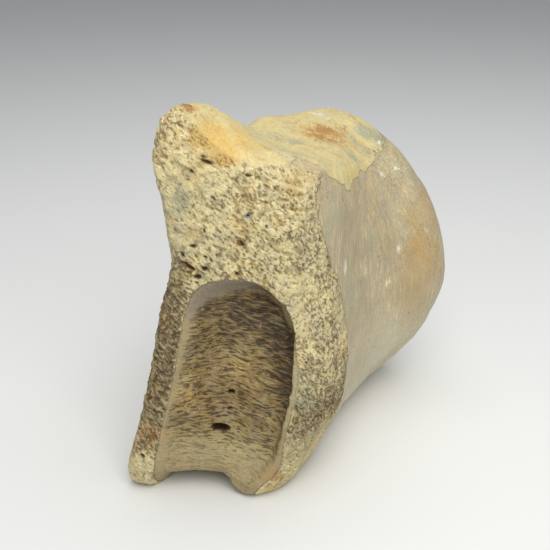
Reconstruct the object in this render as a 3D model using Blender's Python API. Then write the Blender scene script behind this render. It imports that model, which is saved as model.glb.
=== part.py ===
"""Fossil toe bone of a large dinosaur, one solid, lying on its underside at its real size.

Frame: +X to the right across the bone, +Y from its broken front end to its far joint end, +Z up.
The origin is the middle of the bottom of the bone's bounding box. All lengths are metres.

The bone is a block cut into a grid and rounded into a shell: nearly square in section at the
front end and oval at the joint end. Stations along the bone set how far each side stands out,
and short functions add the horn, the two feet, the arch between them and the hollow in the front.
"""

import bmesh
import bpy
import numpy as np

# Steps of the block's grid across the bone, along it and up it
GRID_STEPS = (24, 15, 38)

# Length: the two ends on the bone's middle line, and how far the front end slants back to the right
FRONT_Y = -0.0500
BACK_Y = 0.0450
FACE_SLANT = 0.37
TOE_REACH = 0.0055
JOINT_DISH = 0.0035

# Width: the two sides at stations from the front end, -1, to the joint end, 1
STATIONS = (-1.0, -0.55, 0.0, 0.55, 1.0)
RIGHT_SIDE = (0.0205, 0.0222, 0.0198, 0.0278, 0.0305)
LEFT_SIDE = (-0.0160, -0.0160, -0.0200, -0.0300, -0.0335)
LEFT_FOOT_FLARE = 0.0106
LEFT_WAIST = 0.0050
RIGHT_FLANGE = 0.0028
RIGHT_FOOT_TUCK = 0.0051
JOINT_TOP_LEAN = 0.0090
JOINT_UNDERSIDE_TUCK = 0.0045
LIGAMENT_PIT_DEPTH = 0.0030

# Height: the top's level, what rises from it, and the underside
TOP_HEIGHT = 0.0850
FRONT_TOP_RISE = 0.0055
JOINT_TOP_RISE = 0.0018
JOINT_LEFT_DROP = 0.0034
HORN_HEIGHT = 0.0173
HORN_PEAK = (-0.0165, -0.0550)
HORN_SPREAD = (0.0150, 0.0400)
RIDGE_HEIGHT = 0.0056
RIDGE_PEAK = (-0.0200, -0.0030)
RIDGE_SPREAD = (0.0100, 0.0240)
FLAT_DEPTH = 0.0012
WAIST_LIFT = 0.0022
ARCH_HEIGHT = 0.0047
ARCH_LEFT = (-0.0165, -0.0115)
ARCH_RIGHT = (0.0060, 0.0010)

# Roundness: power 2 is an ellipse, and higher powers come closer to a square
FRONT_SECTION_POWER = 8.0
JOINT_SECTION_POWER = 2.1
HORN_CORNER_POWER = 4.6
FRONT_EDGE_POWER = 11.0
FRONT_RIGHT_EDGE_POWER = 5.0
JOINT_EDGE_POWER = 6.5

# Hollow in the front end: a tall slot, open at the bottom, with an arched top
HOLLOW_LEFT = -0.0150
HOLLOW_LEFT_LEAN = 0.167
HOLLOW_RIGHT = 0.0192
HOLLOW_FOOT_TUCK = 0.0030
HOLLOW_TOE_TUCK = 0.0075
HOLLOW_SPRING = 0.0445
HOLLOW_RISE = 0.0172
HOLLOW_LEFT_POWER = 3.6
HOLLOW_RIGHT_POWER = 2.3
HOLLOW_DEPTH_LOW = 0.0030
HOLLOW_DEPTH_HIGH = 0.0110
HOLLOW_LEFT_BANK = 0.0070
HOLLOW_RIGHT_BANK = 0.0028
HOLLOW_TOE_BANK = 0.0035
STEEP_BANK = 0.0062
RIM_CATCH = 0.075
ON_FRONT = -0.80

BONE_COLOUR = (0.56, 0.47, 0.29, 1.0)
BONE_ROUGHNESS = 0.72


def ease(start, end, value):
    """Rise from 0 at start to 1 at end, level at both ends; start may be above end."""
    share = np.clip((value - start) / (end - start), 0.0, 1.0)
    return share * share * (3.0 - 2.0 * share)


def swell(value, centre, spread):
    """Bell curve of height 1 over centre."""
    return np.exp(-(((value - centre) / spread) ** 2))


def at_station(sides, along):
    """Smooth curve through the sides given at STATIONS, read at each place along the bone."""
    return np.polyval(np.polyfit(STATIONS, sides, len(STATIONS) - 1), along)


def round_shell(block):
    """Pull the block's points onto a rounded shell that still spans -1 to 1 on each axis.

    The section is |x|^p + |z|^p = 1, and its edge with each end follows the same rule.
    """
    across, along, up = block.T
    spoke = np.hypot(across, up) + 1e-9
    front = ease(0.6, -0.85, along)
    horn_corner = ease(0.1, -0.8, across / spoke) * ease(0.1, 0.8, up / spoke)
    front_power = FRONT_SECTION_POWER + (HORN_CORNER_POWER - FRONT_SECTION_POWER) * horn_corner
    power = JOINT_SECTION_POWER + (front_power - JOINT_SECTION_POWER) * front
    reach = np.maximum(np.abs(across), np.abs(up))
    ring = (np.abs(across) ** power + np.abs(up) ** power) ** (1.0 / power) + 1e-9
    across = across / ring * reach
    up = up / ring * reach
    right_edge = ease(-0.3, 1.0, across) * ease(-1.1, 0.1, up) * ease(0.3, -0.6, along)
    edge_power = (
        FRONT_EDGE_POWER
        + (FRONT_RIGHT_EDGE_POWER - FRONT_EDGE_POWER) * right_edge
        + (JOINT_EDGE_POWER - FRONT_EDGE_POWER) * ease(-0.2, 1.0, along)
    )
    scale = (reach**edge_power + np.abs(along) ** edge_power) ** (1.0 / edge_power)
    return across / scale, along / scale, up / scale


def place_across(across, along, share_up):
    """X: between the two sides, with the feet, the flange, the waist and the leaning joint end."""
    front = ease(0.45, -0.85, along)
    joint = ease(-0.3, 0.7, along)
    foot = np.clip((0.62 - share_up) / 0.62, 0.0, 1.0) ** 2.5
    left = at_station(LEFT_SIDE, along)
    left = left + front * (LEFT_WAIST * swell(share_up, 0.63, 0.17) - LEFT_FOOT_FLARE * foot)
    right = at_station(RIGHT_SIDE, along)
    right = right + front * RIGHT_FLANGE * swell(share_up, 0.38, 0.20)
    right = right - front * RIGHT_FOOT_TUCK * ease(0.28, 0.0, share_up)
    x = (right + left) / 2.0 + (right - left) / 2.0 * across
    x = x - joint * JOINT_TOP_LEAN * ease(0.40, 1.1, share_up)
    return x - joint * JOINT_UNDERSIDE_TUCK * ease(0.45, 0.0, share_up) * ease(0.0, 1.0, across)


def place_along(x, across, along, up):
    """Y: between the two ends, with the slanted front, the forward toes and the dished joint."""
    front = ease(0.45, -0.85, along)
    toe = np.clip((0.40 - (up + 1.0) / 2.0) / 0.40, 0.0, 1.0) ** 1.7
    y = (BACK_Y + FRONT_Y) / 2.0 + (BACK_Y - FRONT_Y) / 2.0 * along
    y = y + front * (FACE_SLANT * x - TOE_REACH * toe)
    return y - JOINT_DISH * ease(0.9, 0.0, np.hypot(across, up)) * ease(0.7, 0.95, along)


def top_level(x, y):
    """Height of the top: level at the middle, raised at both ends, with the horn and its ridge."""
    top = TOP_HEIGHT + FRONT_TOP_RISE * ease(-0.012, -0.038, y) + JOINT_TOP_RISE * ease(0.005, 0.040, y)
    top = top - JOINT_LEFT_DROP * ease(-0.008, -0.024, x) * ease(0.000, 0.024, y)
    horn = swell(x, HORN_PEAK[0], HORN_SPREAD[0]) * swell(y, HORN_PEAK[1], HORN_SPREAD[1])
    ridge = swell(x, RIDGE_PEAK[0], RIDGE_SPREAD[0]) * swell(y, RIDGE_PEAK[1], RIDGE_SPREAD[1])
    return top + HORN_HEIGHT * horn + RIDGE_HEIGHT * ridge


def underside_level(x, y):
    """Height of the underside: just under the floor at its ends, and lifted between the feet."""
    arch = ease(ARCH_LEFT[0], ARCH_LEFT[1], x) * ease(ARCH_RIGHT[0], ARCH_RIGHT[1], x)
    arch = arch * ease(0.025, -0.025, y)
    return ARCH_HEIGHT * arch + WAIST_LIFT * swell(y, -0.005, 0.022) - FLAT_DEPTH


def hollow_frame(x, z):
    """Place in the hollow's own frame: its middle and half width at each height, how far aside a
    point is in half widths, and how far above the spring of the arch in rises of the arch."""
    level = np.minimum(z, HOLLOW_SPRING)
    left = HOLLOW_LEFT + HOLLOW_LEFT_LEAN * z
    right = HOLLOW_RIGHT - HOLLOW_FOOT_TUCK * ease(0.035, 0.008, level)
    right = right - HOLLOW_TOE_TUCK * ease(0.012, -0.002, level)
    middle = (right + left) / 2.0
    half = (right - left) / 2.0
    above = np.clip((z - HOLLOW_SPRING) / HOLLOW_RISE, 0.0, None)
    return middle, half, (x - middle) / half, above


def hollow_reach(aside, above):
    """How far out towards the rim a place is, 1 on it; the arch is squarer on the left."""
    turn = aside / (np.hypot(aside, above) + 1e-9)
    power = HOLLOW_RIGHT_POWER + (HOLLOW_LEFT_POWER - HOLLOW_RIGHT_POWER) * ease(0.4, -0.6, turn)
    return (np.abs(aside) ** power + above**power) ** (1.0 / power)


def bank_width(aside, above, z):
    """Width of the hollow's bank: long on the left, short on the right and under the arch."""
    steep = ease(-0.2, 1.0, aside + above)
    bank = HOLLOW_LEFT_BANK + (HOLLOW_RIGHT_BANK - HOLLOW_LEFT_BANK) * steep
    return bank + HOLLOW_TOE_BANK * ease(0.014, 0.002, z)


def settle_on_rim(x, z):
    """Shift the grid's points that lie near a steep bank's rim, or near its foot, onto that line."""
    middle, half, aside, above = hollow_frame(x, z)
    bank = bank_width(aside, above, z)
    radius = hollow_reach(aside, above) + 1e-9
    settled = radius
    for line in (1.0, 1.0 - bank / half):
        near = (np.abs(radius - line) < RIM_CATCH) & (bank < STEEP_BANK)
        settled = np.where(near, line, settled)
    scale = settled / radius
    return middle + aside * scale * half, z + (scale - 1.0) * above * HOLLOW_RISE


def hollow_depth(x, z):
    """Depth of the hollow in the front end, 0 outside its rim.

    The rim is a slot with an arch over it. The depth grows with the height, and is reached
    at the foot of the bank.
    """
    middle, half, aside, above = hollow_frame(x, z)
    inside = (1.0 - hollow_reach(aside, above)) * half
    depth = HOLLOW_DEPTH_LOW + (HOLLOW_DEPTH_HIGH - HOLLOW_DEPTH_LOW) * ease(0.0, HOLLOW_SPRING, z)
    depth = depth * (0.82 + 0.18 * np.clip(aside, -1.0, 1.0))
    return depth * ease(0.0, bank_width(aside, above, z), inside)


def shape_bone(block):
    """Points of the bone for the points of a block that spans -1 to 1 on each axis."""
    across, along, up = round_shell(block)
    share_up = (up + 1.0) / 2.0
    x = place_across(across, along, share_up)
    y = place_along(x, across, along, up)
    underside = underside_level(x, y)
    z = np.maximum(underside + (top_level(x, y) - underside) * share_up, 0.0)
    pit = swell(y, -0.012, 0.016) * swell(z, 0.050, 0.020) * ease(0.0, -0.7, across)
    x = x + LIGAMENT_PIT_DEPTH * pit
    on_front = along < ON_FRONT
    rim_x, rim_z = settle_on_rim(x, z)
    x = np.where(on_front, rim_x, x)
    z = np.where(on_front, rim_z, z)
    y = y + hollow_depth(x, z) * ease(-0.35, -0.75, along)
    points = np.stack([x, y, z], axis=-1)
    middle = (points.min(axis=0) + points.max(axis=0)) / 2.0
    return points - (middle[0], middle[1], 0.0)


def clear_scene():
    """Remove every object that the file starts with."""
    for thing in list(bpy.data.objects):
        bpy.data.objects.remove(thing, do_unlink=True)


def bone_material():
    """Dull, yellowish grey fossil bone."""
    material = bpy.data.materials.new("fossil_bone")
    material.use_nodes = True
    shader = material.node_tree.nodes["Principled BSDF"]
    shader.inputs["Base Color"].default_value = BONE_COLOUR
    shader.inputs["Roughness"].default_value = BONE_ROUGHNESS
    shader.inputs["Metallic"].default_value = 0.0
    return material


def grid_block(mesh):
    """Cube from -1 to 1, cut into GRID_STEPS along its three axes."""
    mesh_edit = bmesh.new()
    bmesh.ops.create_cube(mesh_edit, size=2.0)
    for axis, steps in enumerate(GRID_STEPS):
        uncut = [e for e in mesh_edit.edges if abs(e.verts[0].co[axis] - e.verts[1].co[axis]) > 1.0]
        bmesh.ops.subdivide_edges(mesh_edit, edges=uncut, cuts=steps - 1, use_grid_fill=True)
    mesh_edit.to_mesh(mesh)
    mesh_edit.free()


def split_faces(mesh):
    """Cut the four-sided faces into triangles across their shorter diagonal."""
    mesh_edit = bmesh.new()
    mesh_edit.from_mesh(mesh)
    bmesh.ops.triangulate(mesh_edit, faces=mesh_edit.faces[:], quad_method="SHORT_EDGE")
    bmesh.ops.recalc_face_normals(mesh_edit, faces=mesh_edit.faces[:])
    mesh_edit.to_mesh(mesh)
    mesh_edit.free()


def make_toe_bone():
    """The whole bone as one closed mesh."""
    mesh = bpy.data.meshes.new("toe_bone")
    grid_block(mesh)
    block = np.empty(len(mesh.vertices) * 3, dtype=np.float32)
    mesh.vertices.foreach_get("co", block)
    points = shape_bone(block.reshape(-1, 3).astype(np.float64))
    mesh.vertices.foreach_set("co", points.astype(np.float32).ravel())
    split_faces(mesh)
    mesh.shade_smooth()
    mesh.materials.append(bone_material())
    bone = bpy.data.objects.new("toe_bone", mesh)
    bpy.context.scene.collection.objects.link(bone)


clear_scene()
make_toe_bone()
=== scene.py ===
"""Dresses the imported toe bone: its weathered surface, a pale floor, soft light and a camera.

The bone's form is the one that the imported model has, worked out again on a much finer grid.
Pits, wrinkles, openings, worn edges and the crust's step are then pressed into that surface.
Lengths are in metres. Places on the bone use the form's own coordinates, whose origin lies
between the front end and the joint end: x to the right of the front end, y from the front end
to the joint end, z up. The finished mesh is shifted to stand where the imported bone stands.
"""

import itertools
import math

import bpy
import numpy as np
from bpy.props import FloatProperty, FloatVectorProperty, PointerProperty
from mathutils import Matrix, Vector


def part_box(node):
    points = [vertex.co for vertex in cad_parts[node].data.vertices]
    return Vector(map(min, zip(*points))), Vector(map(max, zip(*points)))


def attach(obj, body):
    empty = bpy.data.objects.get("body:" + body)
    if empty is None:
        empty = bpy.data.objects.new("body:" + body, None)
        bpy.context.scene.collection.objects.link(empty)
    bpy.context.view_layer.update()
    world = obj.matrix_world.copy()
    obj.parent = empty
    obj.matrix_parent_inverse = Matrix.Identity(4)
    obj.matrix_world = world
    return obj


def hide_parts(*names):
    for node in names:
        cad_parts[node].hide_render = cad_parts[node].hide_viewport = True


bl_info = {
    "name": "Fossil toe bone",
    "version": (1, 0, 0),
    "blender": (4, 5, 0),
    "location": "View3D > Sidebar > Toe Bone",
    "description": "Makes the weathered surface of a fossil toe bone and its stage",
    "category": "Object",
}

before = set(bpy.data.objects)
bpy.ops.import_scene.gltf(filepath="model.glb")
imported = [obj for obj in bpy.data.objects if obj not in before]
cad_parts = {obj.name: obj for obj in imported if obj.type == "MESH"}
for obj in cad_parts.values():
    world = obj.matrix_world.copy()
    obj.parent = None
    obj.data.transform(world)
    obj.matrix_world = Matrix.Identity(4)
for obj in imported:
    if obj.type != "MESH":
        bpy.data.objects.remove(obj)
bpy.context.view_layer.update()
MILLIMETRES = 1000.0

# The bone's form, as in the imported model. The sides are given at five stations, from the front
# end at -1 to the joint end at 1.

STATIONS = (-1.0, -0.55, 0.0, 0.55, 1.0)
RIGHT_SIDE = (0.0205, 0.0222, 0.0198, 0.0278, 0.0305)
LEFT_SIDE = (-0.0160, -0.0160, -0.0200, -0.0300, -0.0335)
FRONT_Y = -0.0500
BACK_Y = 0.0450
FACE_SLANT = 0.37
TOE_REACH = 0.0055
JOINT_DISH = 0.0035
LEFT_FOOT_FLARE = 0.0106
LEFT_WAIST = 0.0050
RIGHT_FLANGE = 0.0028
RIGHT_FOOT_TUCK = 0.0051
JOINT_TOP_LEAN = 0.0090
JOINT_UNDERSIDE_TUCK = 0.0045
LIGAMENT_PIT_DEPTH = 0.0030
TOP_HEIGHT = 0.0850
FRONT_TOP_RISE = 0.0055
JOINT_TOP_RISE = 0.0018
JOINT_LEFT_DROP = 0.0034
HORN_HEIGHT = 0.0173
HORN_PEAK = (-0.0165, -0.0550)
HORN_SPREAD = (0.0150, 0.0400)
RIDGE_HEIGHT = 0.0056
RIDGE_PEAK = (-0.0200, -0.0030)
RIDGE_SPREAD = (0.0100, 0.0240)
FLAT_DEPTH = 0.0012
WAIST_LIFT = 0.0022
ARCH_HEIGHT = 0.0047
ARCH_LEFT = (-0.0165, -0.0115)
ARCH_RIGHT = (0.0060, 0.0010)
FRONT_SECTION_POWER = 8.0
JOINT_SECTION_POWER = 2.1
HORN_CORNER_POWER = 4.6
FRONT_EDGE_POWER = 11.0
FRONT_RIGHT_EDGE_POWER = 5.0
JOINT_EDGE_POWER = 6.5
HOLLOW_LEFT = -0.0150
HOLLOW_LEFT_LEAN = 0.167
HOLLOW_RIGHT = 0.0192
HOLLOW_FOOT_TUCK = 0.0030
HOLLOW_TOE_TUCK = 0.0075
HOLLOW_SPRING = 0.0445
HOLLOW_RISE = 0.0172
HOLLOW_LEFT_POWER = 3.6
HOLLOW_RIGHT_POWER = 2.3
HOLLOW_DEPTH_LOW = 0.0030
HOLLOW_DEPTH_HIGH = 0.0110
HOLLOW_LEFT_BANK = 0.0070
HOLLOW_RIGHT_BANK = 0.0028
HOLLOW_TOE_BANK = 0.0035


def ease(start, end, value):
    """Smooth step: nought at start, one at end, level at both, for numbers or arrays."""
    share = np.clip((value - start) / (end - start), 0.0, 1.0)
    return share * share * (3.0 - 2.0 * share)


def swell(value, centre, spread):
    """Bell curve of height one about a centre: e to the minus square of distance over spread."""
    return np.exp(-(((value - centre) / spread) ** 2))


def at_station(sides, along):
    """The side's place at each share of the length: one polynomial through the five stations."""
    return np.polyval(np.polyfit(STATIONS, sides, len(STATIONS) - 1), along)


def round_shell(block):
    """Rounds the cube from -1 to 1. Each section becomes a superellipse, nearly a circle at the
    joint end and nearly a box in front, and then the ends' edges are rounded the same way."""
    across, along, up = block.T
    spoke = np.hypot(across, up) + 1e-9
    front = ease(0.6, -0.85, along)
    horn_corner = ease(0.1, -0.8, across / spoke) * ease(0.1, 0.8, up / spoke)
    front_power = FRONT_SECTION_POWER + (HORN_CORNER_POWER - FRONT_SECTION_POWER) * horn_corner
    power = JOINT_SECTION_POWER + (front_power - JOINT_SECTION_POWER) * front
    reach = np.maximum(np.abs(across), np.abs(up))
    ring = (np.abs(across) ** power + np.abs(up) ** power) ** (1.0 / power) + 1e-9
    across = across / ring * reach
    up = up / ring * reach
    right_edge = ease(-0.3, 1.0, across) * ease(-1.1, 0.1, up) * ease(0.3, -0.6, along)
    edge_power = FRONT_EDGE_POWER + (FRONT_RIGHT_EDGE_POWER - FRONT_EDGE_POWER) * right_edge
    edge_power = edge_power + (JOINT_EDGE_POWER - FRONT_EDGE_POWER) * ease(-0.2, 1.0, along)
    scale = (reach**edge_power + np.abs(along) ** edge_power) ** (1.0 / edge_power)
    return across / scale, along / scale, up / scale


def place_across(across, along, share_up):
    """Sideways place: between the left and right sides at that station, with the front's flared
    left foot, its right flange and tucked right foot, and the joint's top leaning left."""
    front = ease(0.45, -0.85, along)
    joint = ease(-0.3, 0.7, along)
    foot = np.clip((0.62 - share_up) / 0.62, 0.0, 1.0) ** 2.5
    left = at_station(LEFT_SIDE, along)
    left = left + front * (LEFT_WAIST * swell(share_up, 0.63, 0.17) - LEFT_FOOT_FLARE * foot)
    right = at_station(RIGHT_SIDE, along)
    right = right + front * RIGHT_FLANGE * swell(share_up, 0.38, 0.20)
    right = right - front * RIGHT_FOOT_TUCK * ease(0.28, 0.0, share_up)
    x = (right + left) / 2.0 + (right - left) / 2.0 * across
    x = x - joint * JOINT_TOP_LEAN * ease(0.40, 1.1, share_up)
    return x - joint * JOINT_UNDERSIDE_TUCK * ease(0.45, 0.0, share_up) * ease(0.0, 1.0, across)


def place_along(x, across, along, up):
    """Lengthways place: the front end slants and its toe reaches forward, the joint is dished."""
    front = ease(0.45, -0.85, along)
    toe = np.clip((0.40 - (up + 1.0) / 2.0) / 0.40, 0.0, 1.0) ** 1.7
    y = (BACK_Y + FRONT_Y) / 2.0 + (BACK_Y - FRONT_Y) / 2.0 * along
    y = y + front * (FACE_SLANT * x - TOE_REACH * toe)
    return y - JOINT_DISH * ease(0.9, 0.0, np.hypot(across, up)) * ease(0.7, 0.95, along)


def top_level(x, y):
    """Height of the top: a level, a rise at each end, the horn and the ridge behind it."""
    top = TOP_HEIGHT + FRONT_TOP_RISE * ease(-0.012, -0.038, y)
    top = top + JOINT_TOP_RISE * ease(0.005, 0.040, y)
    top = top - JOINT_LEFT_DROP * ease(-0.008, -0.024, x) * ease(0.000, 0.024, y)
    horn = swell(x, HORN_PEAK[0], HORN_SPREAD[0]) * swell(y, HORN_PEAK[1], HORN_SPREAD[1])
    ridge = swell(x, RIDGE_PEAK[0], RIDGE_SPREAD[0]) * swell(y, RIDGE_PEAK[1], RIDGE_SPREAD[1])
    return top + HORN_HEIGHT * horn + RIDGE_HEIGHT * ridge


def underside_level(x, y):
    """Height of the underside: flats sunk a little, the arch in front and the waist's lift."""
    arch = ease(ARCH_LEFT[0], ARCH_LEFT[1], x) * ease(ARCH_RIGHT[0], ARCH_RIGHT[1], x)
    arch = arch * ease(0.025, -0.025, y)
    return ARCH_HEIGHT * arch + WAIST_LIFT * swell(y, -0.005, 0.022) - FLAT_DEPTH


def hollow_frame(x, z):
    """The front hollow's middle and half width at a height, and a place's share of the way
    aside and above the spring of its arched top: it is inside where these are under one."""
    level = np.minimum(z, HOLLOW_SPRING)
    left = HOLLOW_LEFT + HOLLOW_LEFT_LEAN * z
    right = HOLLOW_RIGHT - HOLLOW_FOOT_TUCK * ease(0.035, 0.008, level)
    right = right - HOLLOW_TOE_TUCK * ease(0.012, -0.002, level)
    half = (right - left) / 2.0
    aside = (x - (right + left) / 2.0) / half
    above = np.clip((z - HOLLOW_SPRING) / HOLLOW_RISE, 0.0, None)
    return half, aside, above


def hollow_reach(aside, above):
    """Share of the way out to the rim: a superellipse, squarer on the left than on the right."""
    turn = aside / (np.hypot(aside, above) + 1e-9)
    power = HOLLOW_RIGHT_POWER + (HOLLOW_LEFT_POWER - HOLLOW_RIGHT_POWER) * ease(0.4, -0.6, turn)
    return (np.abs(aside) ** power + above**power) ** (1.0 / power)


def hollow_depth(x, z):
    """Depth of the hollow: a smooth step across its bank, deeper up and to the right."""
    half, aside, above = hollow_frame(x, z)
    steep = ease(-0.2, 1.0, aside + above)
    bank = HOLLOW_LEFT_BANK + (HOLLOW_RIGHT_BANK - HOLLOW_LEFT_BANK) * steep
    bank = bank + HOLLOW_TOE_BANK * ease(0.014, 0.002, z)
    depth = HOLLOW_DEPTH_LOW + (HOLLOW_DEPTH_HIGH - HOLLOW_DEPTH_LOW) * ease(0.0, HOLLOW_SPRING, z)
    depth = depth * (0.82 + 0.18 * np.clip(aside, -1.0, 1.0))
    return depth * ease(0.0, bank, (1.0 - hollow_reach(aside, above)) * half)


def shape_bone(block):
    """The bone's place for each place on the cube's surface, both as rows of three numbers."""
    across, along, up = round_shell(block)
    share_up = (up + 1.0) / 2.0
    x = place_across(across, along, share_up)
    y = place_along(x, across, along, up)
    underside = underside_level(x, y)
    z = np.maximum(underside + (top_level(x, y) - underside) * share_up, 0.0)
    pit = swell(y, -0.012, 0.016) * swell(z, 0.050, 0.020) * ease(0.0, -0.7, across)
    x = x + LIGAMENT_PIT_DEPTH * pit
    y = y + hollow_depth(x, z) * ease(-0.35, -0.75, along)
    return np.stack([x, y, z], axis=1)


# The fine grid. A gap is a place along the cube and the spacing of the rings there.

FACE_COLUMNS = 116
FACE_ROWS = 240
FRONT_GAPS = ((-1.0, 0.0088), (-0.80, 0.0090), (-0.60, 0.0125), (-0.40, 0.0190), (-0.25, 0.0250))
JOINT_GAPS = ((-0.22, 0.0270), (0.60, 0.0270), (0.85, 0.0180), (1.0, 0.0150))


def uneven_stops(gaps):
    """Stops from the first place to the last whose spacing follows the named gaps between."""
    places, spacing = zip(*gaps)
    line = np.linspace(places[0], places[-1], 4001)
    count = np.cumsum(np.gradient(line) / np.interp(line, places, spacing))
    steps = int(round(count[-1] - count[0]))
    return np.interp(np.linspace(count[0], count[-1], steps + 1), count, line)


def section_walk(step):
    """Column and row of the points met walking round a section from its lower left corner."""
    columns = np.concatenate([
        np.arange(0, FACE_COLUMNS), np.full(FACE_ROWS, FACE_COLUMNS),
        np.arange(FACE_COLUMNS, 0, -1), np.zeros(FACE_ROWS, int)])
    rows = np.concatenate([
        np.zeros(FACE_COLUMNS, int), np.arange(0, FACE_ROWS),
        np.full(FACE_COLUMNS, FACE_ROWS), np.arange(FACE_ROWS, 0, -1)])
    return columns[::step], rows[::step]


def on_cube(columns, rows, along):
    """Places on the cube for grid columns and rows at a share of the length."""
    across = 2.0 * columns / FACE_COLUMNS - 1.0
    up = 2.0 * rows / FACE_ROWS - 1.0
    return np.stack(np.broadcast_arrays(across, along, up), axis=-1).reshape(-1, 3)


def tube_part(stops, step, first):
    """Rings at the stops, as points and quads that face outwards, numbered from first."""
    columns, rows = section_walk(step)
    points = np.concatenate([on_cube(columns, rows, along) for along in stops])
    ring = first + np.arange(len(stops) * len(columns)).reshape(len(stops), -1)
    ahead = np.roll(ring, -1, axis=1)
    quads = np.stack([ring[:-1], ring[1:], ahead[1:], ahead[:-1]], axis=-1).reshape(-1, 4)
    return points, quads, ring


def end_part(ring, step, along, first):
    """The flat grid that closes a tube: its edge is the ring and its inside is new points."""
    columns, rows = section_walk(step)
    wide, high = FACE_COLUMNS // step, FACE_ROWS // step
    number = np.zeros((wide + 1, high + 1), int)
    number[columns // step, rows // step] = ring
    inner_columns, inner_rows = np.meshgrid(
        np.arange(1, wide) * step, np.arange(1, high) * step, indexing="ij")
    number[1:-1, 1:-1] = first + np.arange(inner_columns.size).reshape(inner_columns.shape)
    points = on_cube(inner_columns, inner_rows, along)
    quads = np.stack([number[:-1, :-1], number[1:, :-1], number[1:, 1:], number[:-1, 1:]], axis=-1)
    return points, quads.reshape(-1, 4)


def fine_cube():
    """The cube's surface as points, quads and triangles. The front part's rings have twice the
    points of the joint part's, and a strip of three triangles to each coarse edge joins them."""
    front, front_quads, front_rings = tube_part(uneven_stops(FRONT_GAPS), 1, 0)
    joint, joint_quads, joint_rings = tube_part(uneven_stops(JOINT_GAPS), 2, len(front))
    count = len(front) + len(joint)
    face, face_quads = end_part(front_rings[0], 1, -1.0, count)
    back, back_quads = end_part(joint_rings[-1], 2, 1.0, count + len(face))
    near, middle = front_rings[-1][0::2], front_rings[-1][1::2]
    after = np.roll(near, -1)
    far = joint_rings[0]
    beyond = np.roll(far, -1)
    strip = np.concatenate([
        np.stack([near, far, middle], axis=1),
        np.stack([middle, far, beyond], axis=1),
        np.stack([middle, beyond, after], axis=1)])
    points = np.concatenate([front, joint, face, back])
    quads = np.concatenate([front_quads, joint_quads, face_quads, back_quads[:, ::-1]])
    return points, quads, strip


def split_quads(places, quads):
    """Two triangles for each quad, along its shorter diagonal."""
    a, b, c, d = quads.T
    first = np.linalg.norm(places[a] - places[c], axis=1)
    second = np.linalg.norm(places[b] - places[d], axis=1)
    along_first = np.concatenate([np.stack([a, b, c], 1), np.stack([a, c, d], 1)])
    along_second = np.concatenate([np.stack([a, b, d], 1), np.stack([b, c, d], 1)])
    return np.where(np.tile(first <= second, 2)[:, None], along_first, along_second)


def point_normals(places, faces):
    """Outward direction at each point: the sum of its triangles' cross products, to length one."""
    a, b, c = (places[faces[:, corner]] for corner in range(3))
    cross = np.cross(b - a, c - a)
    sums = np.zeros_like(places)
    for corner in range(3):
        np.add.at(sums, faces[:, corner], cross)
    return sums / (np.linalg.norm(sums, axis=1)[:, None] + 1e-20)


# Irregular patterns that are the same on every run.

def cell_number(cells, seed):
    """A fixed number from 0 to 1 for each lattice cell: its whole numbers are multiplied by
    large odd ones, added and folded over themselves."""
    mixed = cells.astype(np.int64) @ np.array([0x1F123BB5, 0x2545F491, 0x3C6EF35F]) + seed * 0x51ED270B
    folded = (mixed & 0xFFFFFFFF).astype(np.uint32)
    folded = (folded ^ (folded >> np.uint32(16))) * np.uint32(0x7FEB352D)
    folded = (folded ^ (folded >> np.uint32(15))) * np.uint32(0x846CA68B)
    return (folded ^ (folded >> np.uint32(16))) / 4294967296.0


def noise(places, size, seed):
    """Smooth irregularity from -1 to 1: each corner of a lattice of that size has a fixed
    number, and a place blends its cell's eight corners by smooth steps."""
    at = places / size
    cell = np.floor(at)
    part = at - cell
    part = part * part * (3.0 - 2.0 * part)
    mixed = np.zeros(len(places))
    for corner in itertools.product((0, 1), repeat=3):
        weight = np.prod(np.where(np.array(corner) == 1, part, 1.0 - part), axis=1)
        mixed = mixed + weight * cell_number(cell + corner, seed)
    return 2.0 * mixed - 1.0


def layered_noise(places, size, seed, layers=3):
    """Sum of noises, each half the size and a little over half the strength of the one before."""
    mixed = np.zeros(len(places))
    for layer in range(layers):
        mixed = mixed + 0.55**layer * noise(places, size / 2.0**layer, seed + 17 * layer)
    return mixed / 1.6


def pit_pattern(places, size, share, narrow, wide, seed):
    """Scattered bowls: each lattice cell holds a bowl or none, at its own place and with its own
    radius between narrow and wide. Gives the deepest bowl, from 0 to 1, and the raised rim."""
    at = places / size
    cell = np.floor(at)
    bowl = np.zeros(len(places))
    rim = np.zeros(len(places))
    for offset in itertools.product((-1, 0, 1), repeat=3):
        near = cell + offset
        centre = near + np.stack([cell_number(near, seed + axis) for axis in range(3)], axis=1)
        radius = narrow + (wide - narrow) * cell_number(near, seed + 3) ** 1.5
        there = (cell_number(near, seed + 4) < share) * (0.65 + 0.35 * cell_number(near, seed + 5))
        apart = np.linalg.norm(at - centre, axis=1) * size / radius
        bowl = np.maximum(bowl, there * ease(1.0, 0.25, apart))
        rim = np.maximum(rim, there * swell(apart, 1.25, 0.35))
    return bowl, rim * (1.0 - bowl)


def squeeze(places, direction, stretch):
    """Shortens places along a direction, so that a pattern read there is that much longer."""
    unit = np.array(direction) / np.linalg.norm(direction)
    return places - (1.0 - 1.0 / stretch) * (places @ unit)[:, None] * unit


def spots(places, table):
    """Strength of a table's spots at each place: the strongest of the bells about their centres."""
    strongest = np.zeros(len(places))
    for x, y, z, spread, strength in table:
        apart = np.linalg.norm(MILLIMETRES * places - (x, y, z), axis=1)
        strongest = np.maximum(strongest, strength * swell(apart, 0.0, spread))
    return strongest


# Where the surface's regions lie.

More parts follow.
